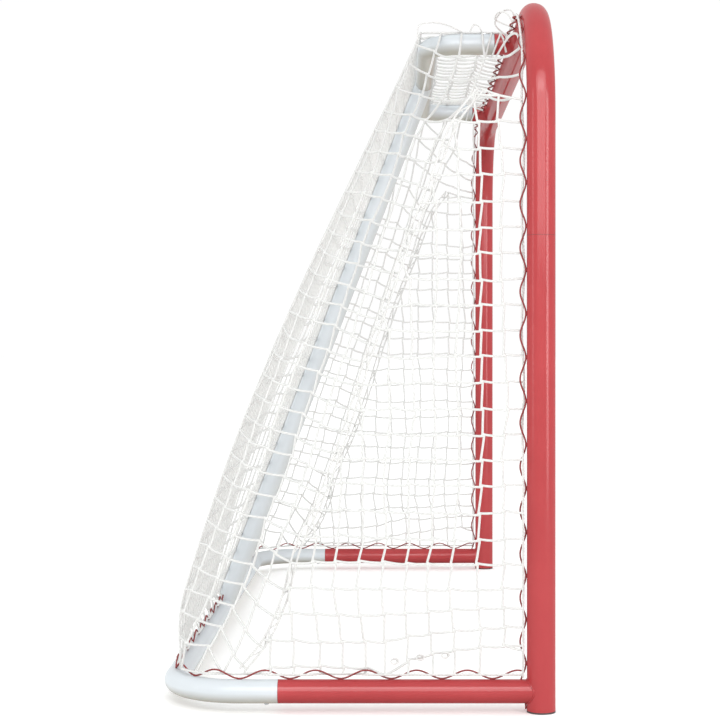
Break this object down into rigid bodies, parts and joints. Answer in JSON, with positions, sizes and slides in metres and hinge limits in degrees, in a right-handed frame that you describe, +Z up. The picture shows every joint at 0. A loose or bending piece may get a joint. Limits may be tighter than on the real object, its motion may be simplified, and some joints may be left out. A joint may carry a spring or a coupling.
{
  "type": "hockey goal net",
  "caption": "Free-standing ice or street hockey goal: red front frame, low base hoop, leaning strut and a laced white net.",
  "frame": {"origin": "middle of the goal's box on the floor", "axes": "+X out of the mouth, towards the shooter; +Y along the crossbar; +Z up"},
  "size_m": [0.6956, 1.9288, 1.2692],
  "materials": {
    "red_paint": "gloss red powder coat",
    "white_paint": "gloss white powder coat",
    "rod_paint": "dark red powder coat",
    "bare_steel": "zinc plated",
    "cap_plastic": "moulded, matt",
    "net_cord": "twisted polyester cord"
  },
  "bodies": {
    "root": {"post_left": "red_paint", "post_right": "red_paint", "crossbar": "red_paint", "side_tube_left": "red_paint", "side_tube_right": "red_paint", "shelf_stub_left": "red_paint", "shelf_stub_right": "red_paint", "base_hoop": "white_paint", "top_shelf": "white_paint", "back_strut": "white_paint", "lacing_rod_post_left": "rod_paint", "lacing_rod_post_right": "rod_paint", "lacing_rod_tails": "rod_paint", "lacing_rod_corner_left": "rod_paint", "lacing_rod_corner_right": "rod_paint", "lacing_rod_crossbar": "rod_paint", "lacing_rod_side_left": "rod_paint", "lacing_rod_side_right": "rod_paint", "lacing_rod_rear_left": "rod_paint", "lacing_rod_rear_right": "rod_paint", "post_sleeve_left": "bare_steel", "post_sleeve_right": "bare_steel", "side_sleeve_left": "bare_steel", "side_sleeve_right": "bare_steel", "shelf_sleeve_left": "bare_steel", "shelf_sleeve_right": "bare_steel", "strut_plugs": "bare_steel", "strut_bolts": "bare_steel", "joint_screws": "bare_steel", "foot_cap_left": "cap_plastic", "foot_cap_right": "cap_plastic", "net_side_left": "net_cord", "net_side_right": "net_cord", "net_corner_left": "net_cord", "net_corner_right": "net_cord", "net_top": "net_cord", "net_back": "net_cord"}
  },
  "joints": []
}
